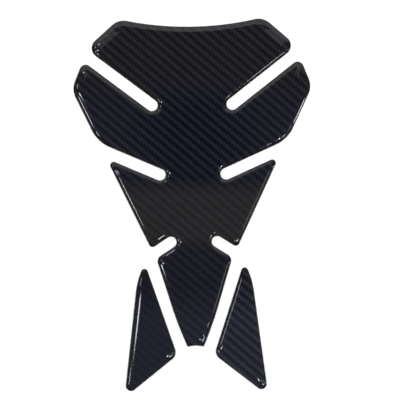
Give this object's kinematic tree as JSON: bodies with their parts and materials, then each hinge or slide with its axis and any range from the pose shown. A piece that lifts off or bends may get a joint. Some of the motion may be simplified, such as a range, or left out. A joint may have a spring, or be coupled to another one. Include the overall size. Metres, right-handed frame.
{
  "type": "motorcycle tank pad",
  "caption": "Domed self-adhesive tank pad in three parts: a slotted centre pad with wings, arms and a tapering tail, and a fin at each side of the tail.",
  "frame": {"origin": "on the adhesive side, under the middle of the whole set's width and length", "axes": "+X across the pad, +Y from the tail towards the wide top edge, +Z out of the tank, away from the adhesive side"},
  "size_m": [0.1404, 0.2198, 0.0022],
  "materials": {
    "printed_film": "satin",
    "resin_dome": "gloss"
  },
  "bodies": {
    "root": {"centre_film": "printed_film", "centre_dome": "resin_dome", "left_fin_film": "printed_film", "left_fin_dome": "resin_dome", "right_fin_film": "printed_film", "right_fin_dome": "resin_dome"}
  },
  "joints": []
}
